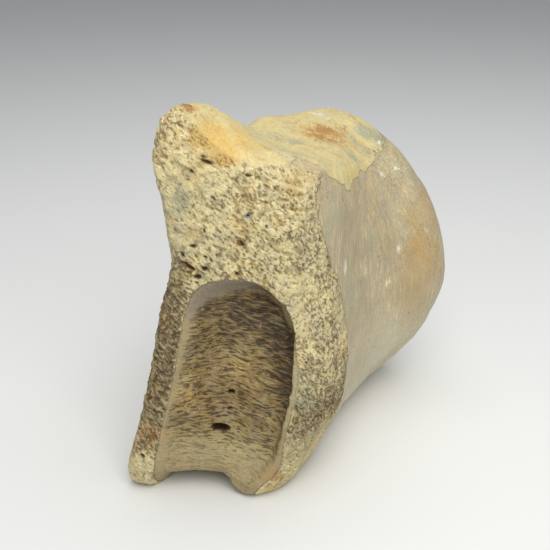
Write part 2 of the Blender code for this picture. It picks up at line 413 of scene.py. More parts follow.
# The pits: their lie, how many times longer than wide they are, the sizes of the irregularities
# that make them, the bowls' cells, share and radii, and the heights of ridges and bowls' rims.
PIT_LIE = (0.72, 0.27, -0.64)
PIT_STRETCH = 1.9
SPONGE_SIZES = (0.00075, 0.0021)
BOWL_CELL = 0.0019
BOWL_SHARE = 0.42
BOWL_RADII = (0.0004, 0.0008)
PIT_RIDGE = 0.00022
BOWL_RIM = 0.00014

# The hollow: its wrinkles' size and stretch, the widths of the smooth lip below and in the arch,
# of the smooth band on the arch's right bank, and of the low right rim.
WRINKLE_SIZE = 0.0013
WRINKLE_STRETCH = 3.6
LIP_WIDTH = 0.0013
ARCH_LIP_WIDTH = 0.0020
RIGHT_BAND_WIDTH = 0.0058
LOW_RIM_WIDTH = 0.0011
OUTSIDE = -0.010

# Edges, in millimetres. A pair is a height and the place along the bone of the pitted end's edge,
# on the right side and then on the left, a place across and that edge's place on top, and a place
# along the bone and the height of the crust's edge.
SIDE_LINE = (
    (0, -18), (12, -21), (25, -22.5), (35, -20), (44, -20.3), (53, -22.2), (63, -28), (70, -32.5),
    (83, -32.3), (88, -28.5))
LEFT_LINE = (
    (0, -37.5), (15, -34), (30, -27.5), (42, -30), (56, -26.5), (68, -30.5), (80, -23.5), (92, -29),
    (100, -34))
TOP_LINE = (
    (-30, -34), (-20, -38), (-8.6, -41.2), (-6, -49), (-3, -50), (3, -47), (7.5, -44.2), (11, -40),
    (16, -34), (21, -29))
CRUST_EDGE = (
    (-30, 89), (-26.5, 84.5), (-21.2, 81.1), (-12, 76.4), (-7, 77.5), (1, 76.7), (10.5, 75.7),
    (20, 75.3), (29, 77.8), (45, 75))

# The spots of the stains and of the painted shade in the hollow: the centre's x, y and z and the spread in
# millimetres, and the strength.
RUST_SPOTS = (
    (1, 10.5, 86, 6.2, 1), (3.5, 3, 86, 5.5, 0.85), (2, 19, 85, 4.5, 0.6), (6.5, 6, 84, 3.5, 0.6),
    (3, -46, 89, 2.6, 0.45), (18.3, 3.9, 65.4, 6, 0.3), (27, 24, 50, 11, 0.45),
    (-15, -57.7, 17, 5, 0.6), (-12, -54, 50, 4.5, 0.5), (-15, -56, 30, 6, 0.5),
    (-4.5, -51.7, 64, 3, 0.45), (7.5, -47.2, 70.8, 2.2, 0.6), (12, -44, 80, 3, 0.45),
    (15.6, -45.1, 7.1, 4, 0.6), (21, -38, 23, 6, 0.35), (-10, -48, 97.5, 3.2, 0.85),
    (-8.5, -44, 101, 3, 0.8), (-8, -50, 93, 2.2, 0.5), (-7.5, -51, 25, 3.5, 0.3))
OCHRE_SPOTS = (
    (0, -44.5, 95, 8, 1), (2, -37, 93, 8, 0.75), (-11, -44, 101.5, 5, 0.8), (2, 7, 86, 11.5, 0.62),
    (19, -6, 78, 6, 0.55), (21, -25, 82, 3, 0.3), (-6.5, -50.1, 26.6, 5.5, 0.5),
    (-4, -49, 34, 5.5, 0.4), (3.5, -41.5, 35, 9, 0.42), (8, -39, 31, 6, 0.3), (17, -38, 85, 6, 0.55),
    (19, 7, 70, 7, 0.4), (25, 20, 60, 9, 0.35), (26.8, 23.9, 46.9, 9, 0.35), (17, 23, 70, 5, 0.35),
    (24, 10, 42, 6, 0.3))
TAN_SPOTS = (
    (3.5, -41.5, 35, 10, 0.9), (6, -40, 25, 9, 0.6), (26.8, 23.9, 46.9, 10, 1),
    (26.2, 21, 38, 8.5, 0.85), (26.5, 24, 60, 8, 0.8), (24, 15, 66, 7, 0.6), (22.5, 11, 56, 5, 0.5),
    (22, -9, 70, 6, 0.55), (20, 4, 30, 8, 0.45), (20, 38, 62, 12, 0.6), (-10, 43, 50, 13, 0.7),
    (-24, 30, 30, 11, 0.6), (8, 43, 30, 9, 0.6), (-19, -10, 30, 9, 0.6))
SLATE_SPOTS = (
    (6.8, 28.5, 81, 5.5, 0.95), (9, 19, 79.5, 5, 0.7), (8, -24, 88.5, 8, 0.6),
    (1.5, -8, 86.2, 6, 0.5), (11, 5, 80.5, 4.5, 0.55), (-10, -53.5, 79, 11, 0.6),
    (-6, -52, 72, 8, 0.45), (21.5, -23, 74, 7, 0.55), (22.5, -15, 48, 11, 0.6),
    (21.5, -40, 30, 11, 0.5))
CHALK_SPOTS = (
    (-8, 22.5, 86.8, 6, 0.55), (21.5, -17.5, 57.9, 2.6, 0.95), (19.7, -1.4, 50.3, 2, 0.75),
    (9.6, 28, 78.5, 1.4, 0.8), (14.7, 19.7, 72.2, 2, 0.85), (15.7, 28, 72.2, 2, 0.8),
    (22.1, 9.7, 43.4, 1.6, 0.7), (22.8, 15.5, 52.1, 1.8, 0.7), (9, -46.3, 78, 1.5, 0.9),
    (13.2, -44.4, 75.6, 1.5, 0.75), (17.8, -37.9, 70, 8, 0.3))
# The hollow's upper right, under its rim: partly a stain, partly painted shade that the rim casts.
DARK_STAIN_AND_SHADE_SPOTS = (
    (-3, -48, 52.5, 4.5, 0.85), (1.7, -41, 50, 5.5, 1), (6.4, -38.6, 49, 6, 1),
    (11.1, -36.1, 44.5, 6, 1), (12.9, -35.3, 39.3, 5.5, 0.95), (13.7, -35.8, 33, 4.5, 0.85),
    (14.5, -37.1, 27.3, 3.8, 0.65), (-5, -48, 43, 6.5, 0.6), (2, -41.5, 44, 6.5, 0.65),
    (-3, -47.5, 30, 2.2, 0.6), (-2, -47, 22.5, 2.5, 0.5))
SPOTS = {
    "rust": RUST_SPOTS, "ochre": OCHRE_SPOTS, "tan": TAN_SPOTS, "slate": SLATE_SPOTS,
    "chalk": CHALK_SPOTS, "dark": DARK_STAIN_AND_SHADE_SPOTS}

# The larger holes: x, z, half a length and half a breadth in millimetres, a lean down to the right
# in radians, and a depth in millimetres.
FRONT_OPENINGS = (
    (0.6, 18.5, 2.4, 1.1, 0.1, 4.5), (1.9, 27.7, 1, 0.6, 0.1, 2), (2.1, 23.5, 0.7, 0.5, 0, 1.2),
    (9, 78, 0.6, 0.5, 0.7, 0.9), (13.2, 75.6, 0.6, 0.4, 0.7, 0.9), (-4.6, 64.5, 2.2, 0.6, 0.6, 1.4),
    (-2.7, 61.7, 1, 0.7, 0.5, 1.4), (-3.4, 69.7, 1, 0.5, 0.1, 1), (-6, 67.3, 0.8, 0.5, 0.8, 1),
    (-0.9, 64, 0.9, 0.6, 0.4, 1.1), (-0.7, 67, 0.6, 0.5, 0.2, 0.9), (1.5, 81.9, 1, 0.4, 0.9, 0.8),
    (-0.8, 73.7, 0.7, 0.4, 1.3, 0.8), (7.6, 70.8, 1.1, 0.5, 0.8, 1), (6.6, 63, 1, 0.4, 0.7, 0.9),
    (-0.4, 90.7, 1.9, 0.5, 0.4, 0.9), (-1.2, 91.8, 1, 0.4, 0.4, 0.7), (8, 87.4, 0.9, 0.5, 0.4, 0.9),
    (-3.4, 88.4, 0.8, 0.5, 0.6, 0.9), (-16.6, 10.9, 0.9, 0.6, 0.6, 1.2))


def read_line(line, value):
    """Straight stretches between the named pairs of a line, read at a value."""
    start, result = zip(*line)
    return np.interp(MILLIMETRES * value, start, result) / MILLIMETRES


def pitted_reach(places, normals):
    """How far each point lies ahead of the pitted end's edge, in metres, and how far it faces
    up. The edge is a line down each side and one across the top, wandering a little."""
    x, y, z = places.T
    wander = 0.0015 * noise(places, 0.0070, 11) + 0.0008 * noise(places, 0.0026, 12)
    left_line = read_line(LEFT_LINE, z) + 1.2 * wander
    side_line = np.where(normals[:, 0] > 0.0, read_line(SIDE_LINE, z), left_line)
    upward = ease(0.45, 0.75, normals[:, 2])
    ahead = side_line + (read_line(TOP_LINE, x) - side_line) * upward + 0.7 * wander - y
    return ahead, upward


def worn_rim(places, normals):
    """How far each point lies inside the worn band round the joint's rim, in metres."""
    x, y, z = places.T
    rim = swell(normals[:, 1], 0.55, 0.22) * ease(0.026, 0.036, y)
    rim = rim * ease(0.016, 0.006, x - 0.3 * (0.05 - z))
    worn = rim * (0.6 + 0.6 * noise(places, 0.0110, 15)) + 0.25 * noise(places, 0.0035, 16)
    return 0.0016 * (worn - 0.55)


def crust_reach(places):
    """How far each point lies above the crust's jagged edge, in metres. It ends at the joint."""
    y, z = places[:, 1], places[:, 2]
    above = z - read_line(CRUST_EDGE, y) + 0.0009 * noise(places, 0.0046, 21)
    return (above - 0.012 * ease(0.030, 0.044, y)) * (1.0 - 0.80 * ease(0.010, 0.026, y))


def dull_share(places, normals, inside):
    """How dull each point is: down the left edge, partly painted shade where it turns from the light, and
    on the low flange, partly painted shade on the lower front. Inside the hollow it is the share of the
    paler colour at its foot."""
    x, y, z = places.T
    behind = y - FRONT_Y - FACE_SLANT * x
    # Partly painted shade: the left edge where it turns from the light, and the flange on the lower front.
    strip = 1.15 * ease(-0.001, -0.010, x) * ease(0.074, 0.054, z) * ease(0.014, 0.036, z)
    strip = strip * ease(0.012, 0.003, behind)
    flange = 0.72 * ease(0.048, 0.022, z) * (0.1 + 0.9 * ease(0.006, 0.024, z))
    low = np.maximum(strip, flange) * ease(-0.008, -0.018, y)
    low = low * np.where(normals[:, 0] < -0.3, ease(0.014, 0.004, behind), 1.0)
    low = np.where(inside > 0.0, ease(0.024, 0.010, z), low)
    return np.clip(low + 0.30 * noise(places, 0.0080, 14), 0.0, 1.0)


def find_regions(places, normals, block):
    """How far each point lies inside the pitted end (ahead), the crust on top (above) and the
    hollow (inside), in metres, and the shares from 0 to 1 that follow from them."""
    x, y, z = places.T
    ahead, upward = pitted_reach(places, normals)
    ahead = np.maximum(ahead, worn_rim(places, normals))
    above = crust_reach(places)
    half, aside, arch = hollow_frame(x, z)
    front = ease(-0.60, -0.80, block[:, 1])
    inside = (1.0 - hollow_reach(aside, arch)) * half
    inside = inside + LOW_RIM_WIDTH * ease(0.4, 0.9, aside) * ease(0.048, 0.036, z)
    inside = np.where(front > 0.0, inside, OUTSIDE)
    hollow = front * ease(0.0, 0.0010, inside)
    lip = LIP_WIDTH + ARCH_LIP_WIDTH * ease(0.2, 0.8, arch) + 0.0005 * noise(places, 0.0050, 13)
    banked = inside - RIGHT_BAND_WIDTH * ease(0.1, 0.7, aside) * ease(0.040, 0.050, z)
    wrinkled = hollow * ease(0.6, 2.1, banked / lip)
    calm = ease(0.0, 0.55, 0.6 * noise(places, 0.0100, 44) + 0.9 * spots(places, SPOTS["slate"]))
    calm = np.maximum(calm, ease(0.0, -0.006, z - 0.015 - 0.35 * np.maximum(x, 0.0)))
    joint = ease(0.0360, 0.0420, y) * ease(0.35, 0.75, normals[:, 1])
    # Painted light bounced up from the pale floor: the sides paler low down.
    bleached = ease(0.044, 0.012, z) * (0.7 + 0.5 * noise(places, 0.0120, 45))
    return {
        "ahead": ahead, "above": above, "inside": inside, "hollow": hollow, "calm": calm,
        "pitted": ease(-0.0006, 0.0006, ahead) * (1.0 - hollow),
        "crust": ease(-0.0004, 0.0004, above) * ease(0.0022, -0.0022, ahead),
        "wrinkled": wrinkled * (0.35 + 0.65 * ease(0.009, 0.021, z + 0.2 * x)),
        "dull": dull_share(places, normals, inside), "arched": ease(0.1, 0.6, arch),
        "bleached": np.clip(bleached, 0.0, 1.0), "joint": joint, "topside": upward,
        "cracked": np.maximum(joint, 0.6 * ease(-0.35, -0.75, normals[:, 0]))}


def hollow_lie(places):
    """Places in which the hollow's wrinkles are level: heights drop to the right in the upper
    part, so that the wrinkles fan from the left lip, and a wrinkle is longer than it is high."""
    x, y, z = places.T
    slope = 0.30 * ease(0.020, 0.050, z) - 0.10 * ease(0.020, 0.005, z)
    level = z + slope * (x - HOLLOW_LEFT) + 0.40 * np.maximum(x - 0.002, 0.0) * ease(0.046, 0.030, z)
    level = level + 0.0009 * noise(places, 0.0045, 31)
    return np.stack([x / WRINKLE_STRETCH, y / WRINKLE_STRETCH, level], axis=1)


def front_openings(places):
    """Depth in metres of the front end's named openings: ovals in the plane of x and z."""
    depth = np.zeros(len(places))
    facing = ease(-0.022, -0.027, places[:, 1])
    for x, z, long, wide, lean, deep in FRONT_OPENINGS:
        aside = MILLIMETRES * places[:, 0] - x
        up = MILLIMETRES * places[:, 2] - z
        along = aside * math.cos(lean) - up * math.sin(lean)
        beside = aside * math.sin(lean) + up * math.cos(lean)
        share = ease(1.15, 0.35, np.hypot(along / long, beside / wide))
        depth = np.maximum(depth, deep * facing * share)
    return depth / MILLIMETRES


def press_surface(places, normals, region, sizes):
    """The surface with its small forms, and how far each point lies in a pit or groove. Pits are
    where a noise drawn out along their lie is low, with rounder bowls between them."""
    pitted, wrinkled, calm = (region[name] for name in ("pitted", "wrinkled", "calm"))
    warp = np.stack([noise(places, 0.0026, seed) for seed in (41, 42, 43)], axis=1)
    lie = squeeze(places, PIT_LIE, PIT_STRETCH) + 0.0005 * warp
    fine, coarse = (noise(lie, size, seed) for size, seed in zip(SPONGE_SIZES, (51, 52)))
    sponge = fine + 0.30 * coarse + 0.45 * calm
    bowls, rims = pit_pattern(lie, BOWL_CELL, BOWL_SHARE, *BOWL_RADII, 53)
    pits = np.maximum(0.75 * ease(-0.02, -0.50, sponge), bowls * (1.0 - 0.6 * calm))
    ridges = ease(0.15, 0.70, sponge) * (1.0 - 0.7 * calm)
    swelling = 0.00040 * layered_noise(places, 0.0090, 71) + 0.00012 * noise(places, 0.0028, 72)
    height = swelling * (1.0 - 0.6 * region["hollow"])
    height = height + region["crust"] * 0.00007 * noise(places, 0.0017, 73)
    height = height + pitted * (PIT_RIDGE * ridges + BOWL_RIM * rims - sizes.pit_depth * pits)
    fold = noise(hollow_lie(places), WRINKLE_SIZE, 81)
    crease = ease(-0.05, -0.50, fold) * ease(-0.5, 0.1, noise(places, 0.0040, 83))
    height = height + wrinkled * sizes.wrinkle_depth * (0.7 * fold - crease)
    opening = front_openings(places)
    height = height - opening + sizes.crust_step * region["crust"]
    # How far each point lies in a pit, groove or opening, which sets how much painted shade darkens it.
    cavity = np.maximum(0.64 * pitted * pits, 0.50 * wrinkled * crease)
    cavity = np.maximum(cavity, ease(0.0, 0.0009, opening))
    pressed = places + normals * height[:, None]
    pressed[:, 2] = np.maximum(pressed[:, 2], 0.0)
    return pressed, cavity


# Materials.

# The finish's clouds: cells to the metre, detail and roughness. Where a cloud is drawn out, the
# turn of its coordinates and its stretch along each of them follow.
CLOUDS = {
    "broad": (80.0, 4.0, 0.60),
    "flaws": (130.0, 5.0, 0.60, (0.0, 0.0, 0.0), (1.0, 1.0, 2.5)),
    "blotch": (150.0, 3.0, 0.60),
    "patchy": (260.0, 4.0, 0.65),
    "streak": (300.0, 3.0, 0.60, (0.0, 0.0, 0.0), (1.0, 1.0, 7.0)),
    "stained": (340.0, 3.0, 0.60),
    "holes": (750.0, 3.0, 0.60),
    "jag": (1000.0, 3.0, 0.60),
    "grain": (1100.0, 3.0, 0.60, (0.0, 0.0, 0.0), (1.0, 1.0, 7.0)),
    "specks": (1150.0, 4.0, 0.70, (0.0, 0.0, 0.5), (1.0, 3.2, 1.0)),
    "sponge": (1550.0, 3.0, 0.65, (0.0, math.radians(40.0), 0.0), (2.0, 1.0, 1.0)),
    "fine": (1700.0, 3.0, 0.60),
}

# How far the fine cloud jags each edge, in millimetres; the sponge's readings where a pore sets in,
# for few pores and for many, and where it is full; the cracks' cells to the metre; and where a
# crack and one of the joint's holes set in and are full.
EDGE_JAGS = (("ahead", 3.0), ("above", 1.3), ("inside", 0.6))
PORE_START = (0.385, 0.505)
PORE_FULL = 0.372
CRACK_CELLS = 62.0
CRACK_EDGE = (0.016, 0.003)
HOLE_EDGE = (0.40, 0.33)

# Layers of colour: the pattern that a layer follows, where it sets in and where it is full, its
# greatest share, and its colour.
SIDE_LAYERS = (
    ("streak", 0.40, 0.66, 0.60, "side_warm"), ("blotch", 0.40, 0.60, 0.50, "side_grey"),
    ("grain", 0.40, 0.60, 0.80, "side_grey"), ("grain", 0.40, 0.28, 0.55, "chalk"),
    ("flaws", 0.54, 0.66, 0.35, "stain"), ("flaws", 0.44, 0.34, 0.60, "slate"))
CRUST_LAYERS = (
    ("patchy", 0.40, 0.62, 0.90, "crust_pale"), ("fine", 0.50, 0.66, 0.60, "stain"),
    ("blotch", 0.52, 0.68, 0.55, "ochre"), ("blotch", 0.46, 0.34, 0.45, "slate"),
    ("specks", 0.40, 0.30, 0.55, "slate"), ("specks", 0.58, 0.70, 0.60, "chalk"))
SPONGY_LAYERS = (
    ("patchy", 0.42, 0.64, 0.80, "spongy_grey"), ("blotch", 0.50, 0.66, 0.55, "ochre"),
    ("blotch", 0.46, 0.32, 0.50, "spongy_grey"), ("stained", 0.52, 0.66, 0.45, "stain"),
    ("ahead", 4.0, 1.0, 0.45, "side_warm"))
# The hollow floor's first layer is painted shade in the wrinkles' troughs.
FLOOR_LAYERS = (("folds", 0.47, 0.34, 0.45, "dark"), ("blotch", 0.54, 0.66, 0.25, "slate"))
# The joint's last layer is painted shade in its holes.
JOINT_LAYERS = (
    ("patchy", 0.40, 0.62, 1.00, "joint_brown"), ("flaws", 0.50, 0.64, 0.70, "side_grey"),
    ("blotch", 0.52, 0.66, 0.60, "chalk"), ("holes", *HOLE_EDGE, 0.60, "pore"))


def add_node(tree, kind, sockets=None, **settings):
    """A node of that kind. Each of its sockets gets a link where it is given another node's
    output, and a value otherwise."""
    node = tree.nodes.new(kind)
    for name, value in settings.items():
        setattr(node, name, value)
    for key, value in (sockets or {}).items():
        if isinstance(value, bpy.types.NodeSocket):
            tree.links.new(value, node.inputs[key])
        else:
            node.inputs[key].default_value = value
    return node


def reckon(tree, operation, first, second):
    """The result of an operation on two numbers."""
    return add_node(tree, "ShaderNodeMath", {0: first, 1: second}, operation=operation).outputs[0]


def times(tree, *parts):
    """The product of some numbers."""
    result = parts[0]
    for part in parts[1:]:
        result = reckon(tree, "MULTIPLY", result, part)
    return result


def rest_of(tree, share):
    """What a share leaves of one."""
    return reckon(tree, "SUBTRACT", 1.0, share)


def total(tree, *parts):
    """The sum of some outputs, each times its weight. A part is an output and a weight."""
    result = times(tree, *parts[0])
    for part in parts[1:]:
        result = reckon(tree, "ADD", result, times(tree, *part))
    return result


def between(tree, value, low, high, least=0.0, most=1.0):
    """A smooth step of a value from low to high, giving least to most."""
    sockets = {"Value": value, "From Min": low, "From Max": high, "To Min": least, "To Max": most}
    node = add_node(tree, "ShaderNodeMapRange", sockets, interpolation_type="SMOOTHSTEP")
    return node.outputs["Result"]


def blend(tree, share, under, over, way="MIX"):
    """One colour laid over another by a share."""
    sockets = {0: share, 6: under, 7: over}
    node = add_node(tree, "ShaderNodeMix", sockets, data_type="RGBA", blend_type=way)
    return node.outputs[2]


def cloud(tree, vector, scale, detail=3.0, roughness=0.55):
    """Soft irregularity from 0 to 1 with that many cells to the metre."""
    sockets = {"Vector": vector, "Scale": scale, "Detail": detail, "Roughness": roughness}
    return add_node(tree, "ShaderNodeTexNoise", sockets).outputs[0]


def kept(tree, name):
    """A number kept on the mesh's points under that name."""
    return add_node(tree, "ShaderNodeAttribute", attribute_name=name).outputs["Fac"]


def turned(tree, vector, turn, stretch):
    """Coordinates in which a pattern is turned and then stretched along its own axes."""
    sockets = {"Vector": vector, "Rotation": turn, "Scale": stretch}
    return add_node(tree, "ShaderNodeMapping", sockets, vector_type="TEXTURE").outputs[0]


def hairline_cracks(tree, place):
    """Cracks where a foam's walls meet, in coordinates pushed aside irregularly, and only in
    some patches."""
    push = add_node(tree, "ShaderNodeTexNoise", {"Vector": place, "Scale": 190.0, "Detail": 4.0})
    reach = (0.004, 0.004, 0.004)
    bent = add_node(tree, "ShaderNodeVectorMath", {
        0: push.outputs["Color"], 1: reach, 2: place}, operation="MULTIPLY_ADD").outputs[0]
    walls = add_node(tree, "ShaderNodeTexVoronoi", {
        "Vector": bent, "Scale": CRACK_CELLS}, feature="DISTANCE_TO_EDGE").outputs["Distance"]
    patches = between(tree, cloud(tree, place, 45.0, 2.0), 0.53, 0.66)
    return times(tree, between(tree, walls, *CRACK_EDGE), patches, kept(tree, "cracked"))


def bone_patterns(tree):
    """The clouds that the bone's finish is made from, and the regions' and small forms' shares.
    The regions' edges are jagged by a fine cloud. Pores are where the sponge is low, more of
    them in patches and in the dull parts."""
    place = add_node(tree, "ShaderNodeTexCoord").outputs["Object"]
    seen = {}
    for name, (scale, detail, roughness, *lie) in CLOUDS.items():
        where = turned(tree, place, *lie) if lie else place
        seen[name] = cloud(tree, where, scale, detail, roughness)
    jag = reckon(tree, "SUBTRACT", seen["jag"], 0.5)
    ahead, above, inside = (
        total(tree, (kept(tree, name), 1.0), (jag, reach)) for name, reach in EDGE_JAGS)
    hollow = between(tree, inside, 0.0, 0.5)
    topside = kept(tree, "topside")
    start = total(tree, (topside, -2.2), (1.0, -0.3))
    end = total(tree, (topside, 1.6), (1.0, 0.3))
    pitted = times(tree, between(tree, ahead, start, end), rest_of(tree, hollow))
    open_share = total(
        tree, (seen["patchy"], 0.9), (kept(tree, "calm"), -0.35), (kept(tree, "dull"), 0.36))
    pore_start = between(tree, open_share, 0.2, 0.7, *PORE_START)
    lie = add_node(tree, "ShaderNodeAttribute", attribute_name="wrinkle_lie").outputs["Vector"]
    folds = cloud(tree, lie, 1650.0, 2.5)
    foot = times(tree, between(tree, above, -0.65, -0.15), between(tree, above, 0.10, 0.0))
    seen.update({
        "ahead": ahead, "hollow": hollow, "pitted": pitted,
        "crust": between(tree, above, -0.05, 0.12),
        "crust_foot": times(tree, foot, between(tree, ahead, -1.2, -3.2)),
        "cracks": hairline_cracks(tree, place),
        "pores": times(tree, between(tree, seen["sponge"], pore_start, PORE_FULL), pitted),
        "folds": folds, "creases": between(tree, folds, 0.46, 0.36)})
    return seen


def layered(tree, colour, layers, seen, colours):
    """A colour with a table's layers laid over it, one after another."""
    for pattern, low, high, most, name in layers:
        share = between(tree, seen[pattern], low, high, 0.0, most)
        colour = blend(tree, share, colour, colours[name])
    return colour


def side_colour(tree, colours, seen):
    """Grainy tan, browned in patches, and paler low down, where the floor's bounced light is painted in
    the chalk colour.
    """
    side = layered(tree, colours["side"], SIDE_LAYERS, seen, colours)
    browned = total(
        tree, (kept(tree, "tan"), 0.9), (seen["flaws"], 1.2), (seen["grain"], 0.5), (0.85, -1.0))
    side = blend(tree, between(tree, browned, 0.15, 0.75, 0.0, 0.70), side, colours["tan"])
    # Painted light bounced up from the floor, in the chalk colour, low down on the sides.
    return blend(tree, times(tree, kept(tree, "bleached"), 0.65), side, colours["chalk"])


def spongy_colour(tree, colours, seen):
    """Cream with grey and ochre patches, dull low down, which is partly painted shade, and with painted
    highlights on the ridges.
    """
    spongy = layered(tree, colours["spongy"], SPONGY_LAYERS, seen, colours)
    dull = times(tree, kept(tree, "dull"), between(tree, seen["sponge"], 0.3, 0.6, 0.95, 0.72))
    # The dull colour is partly painted shade on the left edge and on the lower front.
    spongy = blend(tree, dull, spongy, colours["spongy_dull"])
    # Painted highlights on the ridges between the pits, fainter in the dull parts.
    ridge_highlight = between(tree, seen["sponge"], 0.50, 0.64, 0.0, 0.6)
    ridge_highlight = times(tree, ridge_highlight, between(tree, dull, 0.0, 1.0, 1.0, 0.15))
    return blend(tree, ridge_highlight, spongy, colours["ridge"])


def hollow_colour(tree, colours, seen):
    """Brown floor, paler low down and tan in the middle, with painted shade in its wrinkles' troughs,
    inside a smooth grey-brown lip.
    """
    grey = between(tree, seen["patchy"], 0.42, 0.62, 0.0, 0.7)
    floor = blend(tree, grey, colours["hollow"], colours["hollow_grey"])
    floor = blend(tree, kept(tree, "dull"), floor, colours["hollow_low"])
    browned = total(tree, (kept(tree, "tan"), 1.0), (seen["patchy"], 0.8))
    floor = blend(tree, between(tree, browned, 0.5, 1.4, 0.0, 0.6), floor, colours["tan"])
    floor = layered(tree, floor, FLOOR_LAYERS, seen, colours)
    lip = blend(tree, kept(tree, "arched"), colours["lip_low"], colours["lip"])
    return blend(tree, between(tree, kept(tree, "wrinkled"), 0.85, 0.15), floor, lip)


def stain_and_shade_colour(tree, colour, colours, seen):
    """A colour with the named spots' stains, each broken up by clouds. The blackish spots in the hollow's
    upper right, under its rim, are partly a stain and partly painted shade.
    """
    patchy, fine = seen["patchy"], seen["fine"]
    for name, low in (("ochre", 0.25), ("slate", 0.20)):
        worn = total(tree, (kept(tree, name), 1.0), (patchy, 1.7), (fine, 0.6), (1.15, -1.0))
        colour = blend(tree, between(tree, worn, low, 0.85), colour, colours[name])
    # Painted shade under the hollow's rim, partly a stain: deeper in the wrinkles' troughs and kept off
    # the smooth lip.
    worn = total(tree, (kept(tree, "dark"), 1.0), (patchy, 1.3), (seen["folds"], -1.3))
    off_lip = between(tree, kept(tree, "wrinkled"), 0.0, 0.5, 0.2)
    worn = times(tree, between(tree, worn, 0.18, 0.90), off_lip)
    colour = blend(tree, worn, colour, colours["dark"])
    for name, flecks, low in (("rust", "specks", 0.25), ("chalk", "grain", 0.45)):
        worn = total(
            tree, (kept(tree, name), 1.0), (patchy, 1.0), (fine, 0.8), (seen[flecks], 2.0), (1.90, -1.0))
        colour = blend(tree, between(tree, worn, low, 0.85), colour, colours[name])
    return colour


def painted_shade_share(tree, seen):
    """How far painted shade darkens the bone: in the pits, openings and wrinkles' creases by how deep they
    are, and darker along the cracks and in patches at the crust's foot.
    """
    lined = times(
        tree, seen["crust_foot"], rest_of(tree, seen["pitted"]),
        between(tree, seen["patchy"], 0.4, 0.55, 0.0, 0.6))
    darkening = kept(tree, "cavity")
    for more in (times(tree, seen["creases"], kept(tree, "wrinkled"), 0.75),
                 times(tree, seen["cracks"], 0.60), lined):
        darkening = reckon(tree, "MAXIMUM", darkening, more)
    return between(tree, darkening, 0.12, 1.0, 0.0, 0.96)


def bone_colour(tree, colours, seen):
    """The colour: grainy tan sides, a yellow crust, spongy cream in front, a stained hollow, a patchy
    joint, and then stains, partly painted shade under the hollow's rim, painted highlights on the wrinkle
    crests, painted shade in the pores, and painted shade in the pits, openings and creases, also along the
    cracks."""
    crust = layered(tree, colours["crust"], CRUST_LAYERS, seen, colours)
    colour = blend(tree, seen["crust"], side_colour(tree, colours, seen), crust)
    colour = blend(tree, seen["pitted"], colour, spongy_colour(tree, colours, seen))
    colour = blend(tree, seen["hollow"], colour, hollow_colour(tree, colours, seen))
    joint = layered(tree, colours["side"], JOINT_LAYERS, seen, colours)
    on_joint = times(tree, kept(tree, "joint"), rest_of(tree, seen["pitted"]), 0.85)
    colour = blend(tree, on_joint, colour, joint)
    colour = stain_and_shade_colour(tree, colour, colours, seen)
    # Painted highlights on the crests of the hollow's wrinkles.
    crests = between(tree, seen["folds"], 0.51, 0.64, 0.0, 0.48)
    crests = times(tree, crests, seen["hollow"], kept(tree, "wrinkled"))
    colour = blend(tree, crests, colour, colours["fold_pale"])
    # Painted shade in the pores between the pits.
    colour = blend(tree, times(tree, seen["pores"], 0.68), colour, colours["pore"])
    # Painted shade in the pits, openings and wrinkles' creases, darker along the cracks and in patches at
    # the crust's foot.
    colour = blend(tree, painted_shade_share(tree, seen), colour, colours["cavity"])
    shade = between(tree, total(tree, (seen["fine"], 0.6), (seen["broad"], 0.4)), 0.3, 0.7, 0.82, 1.16)
    grey = add_node(tree, "ShaderNodeCombineColor", {0: shade, 1: shade, 2: shade}).outputs[0]
    return blend(tree, 1.0, colour, grey, "MULTIPLY")


def bone_relief(tree, seen):
    """The finest relief, in tenths of a millimetre: grain, pores, ridges between them, folds."""
    holes = between(tree, seen["holes"], *HOLE_EDGE)
    pocked = total(tree, (holes, -3.0), (seen["patchy"], 6.0))
    spongy = total(tree, (seen["sponge"], 12.0), (seen["pores"], -3.5))
    folded = total(tree, (seen["folds"], 14.0), (seen["creases"], -3.4))
    crusted = total(tree, (seen["patchy"], 5.0), (seen["specks"], 2.5), (1.0, 0.8))
    crusted = times(tree, crusted, seen["crust"])
    return total(
        tree, (seen["fine"], 0.8), (seen["grain"], 2.0), (seen["cracks"], -4.0),
        (pocked, kept(tree, "joint")), (spongy, seen["pitted"]), (folded, kept(tree, "wrinkled")),
        (crusted, rest_of(tree, seen["pitted"])))


def bone_finish(colours):
    """Old bone, half matt, with its colours, its finest relief and a slight gloss on the sides."""
    material = bpy.data.materials.new("fossil_bone_weathered")
    material.use_nodes = True
    tree = material.node_tree
    tree.nodes.clear()
    seen = bone_patterns(tree)
    bump = add_node(tree, "ShaderNodeBump", {
        "Strength": 1.0, "Distance": 0.0001, "Height": bone_relief(tree, seen)})
    rough = between(tree, seen["fine"], 0.3, 0.7, 0.50, 0.66)
    rough = between(tree, seen["pitted"], 0.0, 1.0, rough, 0.80)
    shader = add_node(tree, "ShaderNodeBsdfPrincipled", {
        "Base Color": bone_colour(tree, colours, seen), "Roughness": rough,
        "Specular IOR Level": 0.30, "Normal": bump.outputs[0]})
    output = add_node(tree, "ShaderNodeOutputMaterial", {"Surface": shader.outputs[0]})
    output.is_active_output = True
    return material


def floor_finish(colour):
    """Plain matt pale floor with the faintest mottling."""
    material = bpy.data.materials.new("pale_floor")
    material.use_nodes = True
    tree = material.node_tree
    shader = tree.nodes["Principled BSDF"]
    place = add_node(tree, "ShaderNodeTexCoord").outputs["Object"]
    mottle = between(tree, cloud(tree, place, 3.0), 0.3, 0.7, 0.0, 0.04)
    tree.links.new(blend(tree, mottle, colour, FLOOR_MOTTLE), shader.inputs["Base Color"])
    shader.inputs["Roughness"].default_value = 0.85
    shader.inputs["Specular IOR Level"].default_value = 0.15
    return material


# The add-on's settings, operators and panel.

